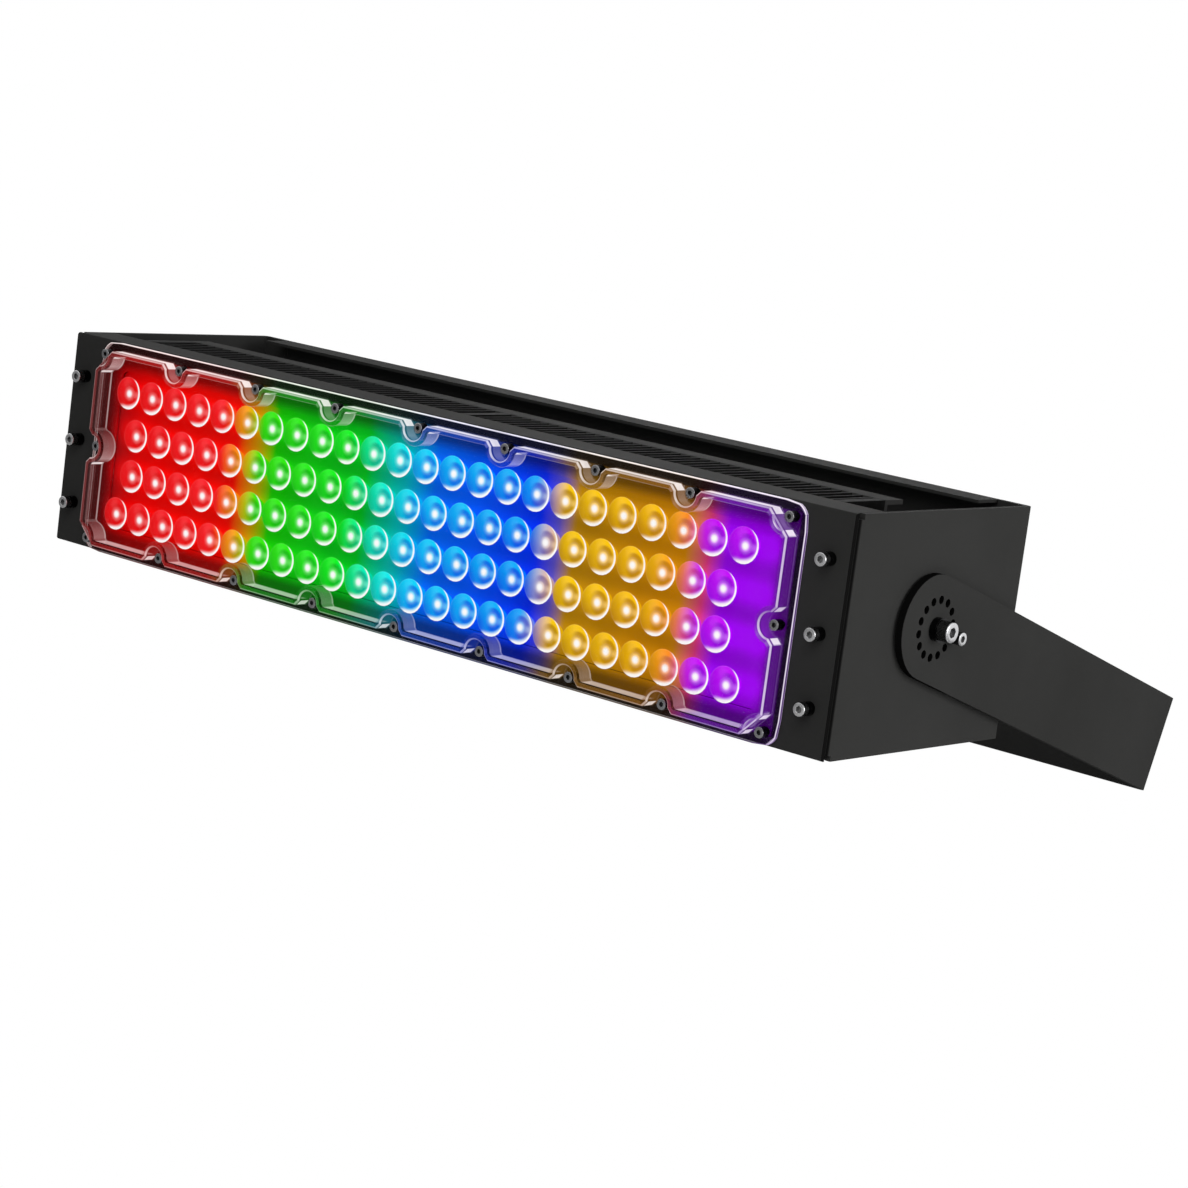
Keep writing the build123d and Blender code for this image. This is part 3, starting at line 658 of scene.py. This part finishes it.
# Light seen on the cover for outlines that face east, north-east and so on round to south-east.
COMPASS = {
    "outer_wall": (0.04, 0.95, 0.95, 0.1, 0.05, 0.0, 0.0, 0.85),
    "outer_arc": (0.35, 0.5, 0.35, 0.15, 0.08, 0.0, 0.08, 0.2),
    "inner_wall": (0.0, 0.0, 0.04, 0.95, 0.08, 0.35, 0.7, 0.1),
    "inner_arc": (0.05, 0.0, 0.06, 0.6, 0.4, 0.3, 0.15, 0.1),
    "inner_back": (0.1, 0.05, 0.1, 0.7, 0.62, 0.5, 0.5, 0.1),
    "inner_front": (0.12, 0.2, 0.6, 0.5, 0.5, 0.3, 0.3, 0.1),
    "front_edge": (0.72, 0.8, 0.6, 0.7, 0.6, 0.5, 0.32, 0.5),
    "rim_face": (0.0, 0.3, 0.04, 0.12, 0.14, 0.08, 0.03, 0.0),
    "rim_opacity": (0.15, 0.6, 0.5, 0.5, 0.6, 0.5, 0.5, 0.3),
    "flange_front": (0.9, 1.0, 0.95, 0.8, 0.8, 0.3, 0.05, 0.8),
    "flange_side": (0.22, 0.8, 0.9, 0.5, 0.4, 0.1, 0.02, 0.5),
    "flange_back": (0.7, 0.8, 0.8, 0.5, 0.8, 0.2, 0.04, 0.6),
    "foot": (0.25, 0.2, 0.3, 0.3, 0.3, 0.1, 0.05, 0.2),
}


def facing(outline):
    """Direction that each point of an outline faces, outwards, in radians from +X towards +Z."""
    step = np.roll(outline[:, :2], -1, 0) - np.roll(outline[:, :2], 1, 0)
    return np.arctan2(-step[:, 0], step[:, 1])


def light(outline, key):
    """The named light of the compass at each point of an outline."""
    values = COMPASS[key]
    return np.interp(facing(outline) % (2 * np.pi), np.arange(9) * np.pi / 4, values + values[:1])


def cover():
    """Clear cover as one closed skin: equal rings from the inner face round the flange to the front."""
    back = PLATEAU_FRONT + SKIN
    body = plateau_ring(0.0)
    arc = body[:, 2]
    # The painted light on the outer arcs of the cover grows towards the top
    upper = np.clip(body[:, 1] / COVER_HALF[1], 0.0, 1.0)
    outer = light(body, "outer_wall") * (1 - arc) + light(body, "outer_arc") * arc * (0.25 + 0.75 * upper)
    inner = light(body, "inner_wall") * (1 - arc) + light(body, "inner_arc") * arc
    inner_back = light(body, "inner_back")
    inner_front = light(body, "inner_front")
    front_edge = light(body, "front_edge")
    rim = light(body, "rim_face")
    rim_opacity = light(body, "rim_opacity")
    flange = flange_ring(0.0)
    flange_front = light(flange, "flange_front")
    flange_side = light(flange, "flange_side")
    flange_back = light(flange, "flange_back")
    foot = light(body, "foot")

    # Each ring is an outline, its depth, and the edge light, fill and opacity on it
    rings = [
        (plateau_ring(RIM_WALL + 0.5), back, 0.0, 0.05, 0.02),
        (plateau_ring(RIM_WALL + 0.25), back, 0.0, 0.05, 0.02),
        (plateau_ring(RIM_WALL + 0.2), back, inner_front, 0.2, 0.3 + 0.6 * inner_front),
        (plateau_ring(RIM_WALL), back + 0.3, inner_front, 0.2, 0.3 + 0.6 * inner_front),
        (plateau_ring(RIM_WALL), back + 0.6, inner, 0.28, 0.3 + 0.65 * inner),
        (plateau_ring(RIM_WALL), COVER_BACK - 1.5, inner, 0.28, 0.3 + 0.65 * inner),
        (plateau_ring(RIM_WALL), COVER_BACK - 1.2, inner_back, 0.25, 0.3 + 0.65 * inner_back),
        (plateau_ring(RIM_WALL), COVER_BACK, inner_back, 0.25, 0.3 + 0.65 * inner_back),
        (plateau_ring(RIM_WALL - 0.4), COVER_BACK, 0.0, 0.03, 0.2),
        (flange_ring(0.5), COVER_BACK, 0.0, 0.03, 0.2),
        (flange_ring(0.2), COVER_BACK, flange_back, 0.05, 0.9),
        (flange_ring(0.0), COVER_BACK - 0.4, flange_back, 0.05, 0.9),
        (flange_ring(0.0), COVER_BACK - 0.6, flange_side, 0.08, 0.7),
        (flange_ring(0.0), FLANGE_FRONT + 0.5, flange_side, 0.08, 0.7),
        (flange_ring(0.0), FLANGE_FRONT + 0.3, flange_front, 0.05, 0.95),
        (flange_ring(0.5), FLANGE_FRONT, flange_front, 0.05, 0.95),
        (flange_ring(0.8), FLANGE_FRONT, 0.0, 0.04, 0.3),
        (plateau_ring(-0.9), FLANGE_FRONT, 0.0, 0.04, 0.3),
        (plateau_ring(0.0), FLANGE_FRONT - 0.6, foot, 0.1, 0.5),
        (plateau_ring(0.0), FLANGE_FRONT - 1.2, outer, 0.16, 0.35 + 0.6 * outer),
        (plateau_ring(0.0), PLATEAU_FRONT + 3.0, outer, 0.16, 0.35 + 0.6 * outer),
        (plateau_ring(0.0), PLATEAU_FRONT + 2.4, 0.2 * outer, 0.16, 0.6),
        (plateau_ring(0.0), PLATEAU_FRONT + 1.3, 0.2 * outer, 0.16, 0.6),
        (plateau_ring(0.0), PLATEAU_FRONT + 0.9, front_edge, 0.2, 0.95),
        (plateau_ring(0.8), PLATEAU_FRONT, front_edge, 0.2, 0.95),
        (plateau_ring(1.1), PLATEAU_FRONT, rim, 0.42, rim_opacity),
        (plateau_ring(RIM_WALL - 0.3), PLATEAU_FRONT, rim, 0.42, rim_opacity),
        (plateau_ring(RIM_WALL + 0.1), PLATEAU_FRONT, 0.0, 0.05, 0.02),
    ]
    level = [np.stack([r[:, 0], np.full(len(r), y), r[:, 1]], 1) for r, y, *_ in rings]
    marks = [np.stack([np.broadcast_to(m, len(r)) for m in mark], 1) for r, _, *mark in rings]
    piece(
        "lens_cover_clear", in_row(np.concatenate(level)), capped(len(rings), len(body)),
        FINISHES["clear_polycarbonate"], "head",
        {"light": np.concatenate(marks)}, ["lens_cover"],
    )


def lens_places():
    """Lens centres: full outer rows, and inner rows that are one shorter and staggered by half a pitch."""
    places = []
    for row in range(LENS_ROWS):
        count = LENS_COUNT - (0 < row < LENS_ROWS - 1)
        x = (np.arange(count) - (count - 1) / 2) * LENS_PITCH[0]
        z = ((LENS_ROWS - 1) / 2 - row) * LENS_PITCH[1]
        places.append(np.stack([x, np.zeros(count), np.full(count, z)], 1))
    return np.concatenate(places)


def lenses():
    """Lens bodies behind the cover's skin: cones under low domes.

    The height of a dome above its edge is its rise times one less the square of the part of the radius.
    """
    shoulder = -LENS_ROOT - DOME_SETBACK
    rings = [(LENS_TIP_RADIUS, -LENS_TIP), (LENS_RADIUS, shoulder)]
    rings += [(LENS_RADIUS * part, shoulder + DOME_RISE * (1 - part * part)) for part in (0.97, 0.62, 0.3)]
    points = turned(rings)
    disc = points / LENS_RADIUS
    disc[:SECTORS, :2] *= 1.5 * LENS_RADIUS / LENS_TIP_RADIUS
    places = lens_places()
    moved, faces = copies(points, capped(len(rings), SECTORS), FORWARD, places)
    piece(
        "lenses", in_row(moved), faces, lens_glass(), "head",
        {"disc": np.tile(disc, (len(places), 1))},
    )


# Fasteners

def cap_screw(head_r, head, socket, shank_r, shank):
    """Cap screw along +Z with its seat at 0: shank, chamfered head, hexagonal socket.

    The socket's radius is half the width across flats over the cosine of the angle to the nearest flat.
    """
    angle = 2 * np.pi * np.arange(SECTORS) / SECTORS
    hexagon = socket / 2 / np.cos((angle + np.pi / 6) % (np.pi / 3) - np.pi / 6)
    bevel = 0.1 * head_r
    rings = [
        (shank_r - bevel, -shank), (shank_r, bevel - shank), (shank_r, 0.0), (head_r - bevel / 2, 0.0),
        (head_r, bevel / 2), (head_r, head - 1.6 * bevel), (head_r, head - bevel),
        (head_r - 0.3 * bevel, head - 0.3 * bevel), (head_r - bevel, head),
        (hexagon + 0.35 * bevel, head), (hexagon, head - 0.35 * bevel), (hexagon, head - socket / 2),
    ]
    # Painted reflection on each ring: bright on the head's top edge, its face and the socket's mouth
    polish = [0, 0, 0, 0, 0, 0, 0.8, 1, 1, 1, 0.6, 0.15]
    return turned(rings), capped(len(rings), SECTORS), np.repeat(polish, SECTORS).astype(float)


def head_screws(node, size, places, finish):
    """Screws that go into the face of the head from the front, one at each place."""
    points, faces, polish = cap_screw(*size)
    moved, spread = copies(points, faces, FORWARD, places)
    marks = {"polish": np.tile(polish, len(places))}
    piece(node + "_detailed", in_row(moved), spread, finish, "head", marks, [node])


def cover_screw_places():
    """Seats of the twenty screws of the clear cover."""
    row_x = COVER_HALF[0] - SCREW_INSET
    row_z = COVER_HALF[1] - SCREW_INSET
    along = np.linspace(-row_x, row_x, SPANS_LONG + 1)
    places = [(x, FLANGE_FRONT, s * row_z) for s in (-1, 1) for x in along]
    return places + [(s * row_x, FLANGE_FRONT, 0.0) for s in (-1, 1)]


def flange_bolt_places():
    """Seats of the six bolts of the front flanges."""
    return [(s * BOLT_LINE, BOLT_SEAT, k * BOLT_PITCH) for s in (-1, 1) for k in (-1, 0, 1)]


def yoke_screws(node, size, along):
    """A screw through each arm of the yoke from outside, at a distance along the arm from the pivot."""
    points, faces, polish = cap_screw(*size)
    right, right_faces = copies(points, faces, RIGHTWARD, [(YOKE_SCREW_SEAT, along - REACH, 0.0)])
    left, left_faces = copies(points, faces, LEFTWARD, [(-YOKE_SCREW_SEAT, along - REACH, 0.0)])
    spread = [np.concatenate([a, b + len(points)]) for a, b in zip(right_faces, left_faces)]
    both = MM * np.concatenate([right, left])
    marks = {"polish": np.tile(polish, 2)}
    piece(node + "_detailed", both, spread, BOLT_STEEL, "yoke", marks, [node])


cover()
lenses()
head_screws("cover_screws", COVER_SCREW, cover_screw_places(), COVER_SCREW_STEEL)
head_screws("flange_bolts", FLANGE_BOLT, flange_bolt_places(), BOLT_STEEL)
yoke_screws("pivot_bolts", PIVOT_BOLT, 0.0)
yoke_screws("lock_screws", LOCK_SCREW, LOCK_DISTANCE)


# Camera, light and surroundings

def camera():
    """The camera that was fitted to the photograph."""
    data = bpy.data.cameras.new("camera")
    data.sensor_width = SENSOR
    data.lens = FOCAL_PIXELS * SENSOR / PHOTO_SIDE
    data.clip_end = 50.0
    eye = linked("camera", data)
    eye.location = CAMERA_PLACE
    eye.rotation_euler = [math.radians(a) for a in CAMERA_TURN]
    bpy.context.scene.camera = eye


def lamp(name, place, target, power):
    """A square area lamp, turned to its target."""
    data = bpy.data.lights.new(name, "AREA")
    data.shape = "RECTANGLE"
    data.size = LAMP_SIDE
    data.size_y = LAMP_SIDE
    data.energy = power
    made = linked(name, data)
    made.location = place
    made.rotation_euler = (Vector(target) - Vector(place)).to_track_quat("-Z", "Y").to_euler()


def world():
    """White where the camera, a reflection or a see-through surface looks out, and softer as a light."""
    made = bpy.data.worlds.new("studio")
    bpy.context.scene.world = made
    made.use_nodes = True
    tree = made.node_tree
    background = tree.nodes["Background"]
    path = tree.nodes.new("ShaderNodeLightPath")
    seen = None
    for ray in ("Is Camera Ray", "Is Glossy Ray", "Is Transmission Ray"):
        add = tree.nodes.new("ShaderNodeMath")
        add.operation = "MAXIMUM"
        tree.links.new(path.outputs[ray], add.inputs[0])
        if seen:
            tree.links.new(seen, add.inputs[1])
        else:
            add.inputs[1].default_value = 0.0
        seen = add.outputs[0]
    strength = tree.nodes.new("ShaderNodeMapRange")
    strength.inputs["To Min"].default_value = FILL_LEVEL
    strength.inputs["To Max"].default_value = WHITE_LEVEL
    tree.links.new(seen, strength.inputs["Value"])
    background.inputs["Color"].default_value = (1.0, 1.0, 1.0, 1.0)
    tree.links.new(strength.outputs["Result"], background.inputs["Strength"])


def floor():
    """A pale floor that keeps the soft shadow, runs out into plain white and is clear from below."""
    height = -0.75
    side = 30.0
    f = Finish("floor_pale")
    grain = f.noise(6.0)
    shade = f.ramp(grain, [(0.3, (0.84, 0.84, 0.84)), (0.7, (0.88, 0.88, 0.88))])
    f.surface(Base_Color=shade, Roughness=0.9)
    white = f.node("ShaderNodeEmission", None, (1.0, 1.0, 1.0, 1.0), 1.0)
    x, y, _ = f.split(f.place())
    far = (x * x + y * y).root().rise(0.4, 1.6)
    path = f.node("ShaderNodeLightPath")
    mixed = f.node("ShaderNodeMixShader", None, path * (0.8 + 0.2 * far))
    mixer = mixed.socket.node
    f.tree.links.new(f.shader.outputs[0], mixer.inputs[1])
    f.tree.links.new(white.socket, mixer.inputs[2])
    beneath = f.node("ShaderNodeNewGeometry", out=6)
    clear = f.node("ShaderNodeBsdfTransparent")
    through = f.node("ShaderNodeMixShader", None, beneath)
    f.tree.links.new(mixed.socket, through.socket.node.inputs[1])
    f.tree.links.new(clear.socket, through.socket.node.inputs[2])
    f.tree.links.new(through.socket, f.output.inputs["Surface"])
    mesh = bpy.data.meshes.new("floor")
    corners = [(-side, -side, height), (side, -side, height), (side, side, height), (-side, side, height)]
    mesh.from_pydata(corners, [], [(0, 1, 2, 3)])
    mesh.materials.append(f.material)
    made = linked("floor", mesh)


bpy.context.scene.view_settings.view_transform = "Standard"
camera()
world()
floor()
lamp("key", (1.2, -2.8, 0.9), (0.0, -0.35, 0.0), 26.0)
lamp("side", (3.2, -0.3, 0.7), (0.3, -0.3, 0.0), 63.0)
lamp("rear", (-1.6, 2.6, 0.3), (0.0, -0.2, 0.0), 52.0)
